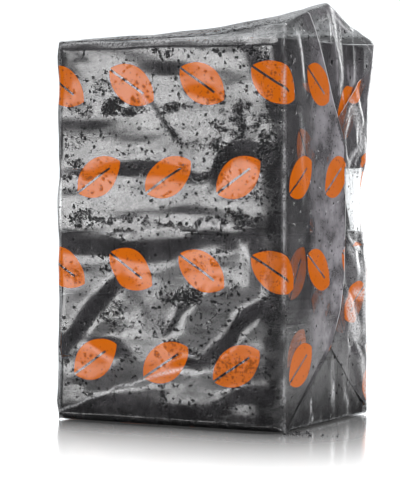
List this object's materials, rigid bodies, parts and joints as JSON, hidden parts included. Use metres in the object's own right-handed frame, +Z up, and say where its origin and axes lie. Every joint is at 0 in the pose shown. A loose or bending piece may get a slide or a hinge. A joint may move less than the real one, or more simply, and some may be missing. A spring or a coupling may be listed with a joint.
{
  "type": "film-wrapped pack of charcoal briquettes",
  "caption": "Upright pack of pressed charcoal cubes in a clear printed film, its ends closed by envelope folds, with a loose ear of film at the top.",
  "frame": {"origin": "on the surface the pack stands on, under the middle of the block of briquettes", "axes": "+X to the right along the wide front, -Y out of the front, +Z up"},
  "size_m": [0.104, 0.0793, 0.1673],
  "materials": {
    "pressed_charcoal": "matte pressed charcoal, sawn faces",
    "clear_film": "clear glossy film with an orange print"
  },
  "bodies": {
    "root": {"briquette_back_c1_l1": "pressed_charcoal", "briquette_back_c1_l2": "pressed_charcoal", "briquette_back_c1_l3": "pressed_charcoal", "briquette_back_c1_l4": "pressed_charcoal", "briquette_back_c1_l5": "pressed_charcoal", "briquette_back_c1_l6": "pressed_charcoal", "briquette_back_c2_l1": "pressed_charcoal", "briquette_back_c2_l2": "pressed_charcoal", "briquette_back_c2_l3": "pressed_charcoal", "briquette_back_c2_l4": "pressed_charcoal", "briquette_back_c2_l5": "pressed_charcoal", "briquette_back_c2_l6": "pressed_charcoal", "briquette_back_c3_l1": "pressed_charcoal", "briquette_back_c3_l2": "pressed_charcoal", "briquette_back_c3_l3": "pressed_charcoal", "briquette_back_c3_l4": "pressed_charcoal", "briquette_back_c3_l5": "pressed_charcoal", "briquette_back_c3_l6": "pressed_charcoal", "briquette_back_c4_l1": "pressed_charcoal", "briquette_back_c4_l2": "pressed_charcoal", "briquette_back_c4_l3": "pressed_charcoal", "briquette_back_c4_l4": "pressed_charcoal", "briquette_back_c4_l5": "pressed_charcoal", "briquette_back_c4_l6": "pressed_charcoal", "briquette_front_c1_l1": "pressed_charcoal", "briquette_front_c1_l2": "pressed_charcoal", "briquette_front_c1_l3": "pressed_charcoal", "briquette_front_c1_l4": "pressed_charcoal", "briquette_front_c1_l5": "pressed_charcoal", "briquette_front_c1_l6": "pressed_charcoal", "briquette_front_c2_l1": "pressed_charcoal", "briquette_front_c2_l2": "pressed_charcoal", "briquette_front_c2_l3": "pressed_charcoal", "briquette_front_c2_l4": "pressed_charcoal", "briquette_front_c2_l5": "pressed_charcoal", "briquette_front_c2_l6": "pressed_charcoal", "briquette_front_c3_l1": "pressed_charcoal", "briquette_front_c3_l2": "pressed_charcoal", "briquette_front_c3_l3": "pressed_charcoal", "briquette_front_c3_l4": "pressed_charcoal", "briquette_front_c3_l5": "pressed_charcoal", "briquette_front_c3_l6": "pressed_charcoal", "briquette_front_c4_l1": "pressed_charcoal", "briquette_front_c4_l2": "pressed_charcoal", "briquette_front_c4_l3": "pressed_charcoal", "briquette_front_c4_l4": "pressed_charcoal", "briquette_front_c4_l5": "pressed_charcoal", "briquette_front_c4_l6": "pressed_charcoal", "briquette_middle_c4_l1": "pressed_charcoal", "briquette_middle_c4_l2": "pressed_charcoal", "briquette_middle_c4_l3": "pressed_charcoal", "briquette_middle_c4_l4": "pressed_charcoal", "briquette_middle_c4_l5": "pressed_charcoal", "briquette_middle_c4_l6": "pressed_charcoal", "briquettes_middle_inner": "pressed_charcoal", "film_wrap": "clear_film"}
  },
  "joints": []
}
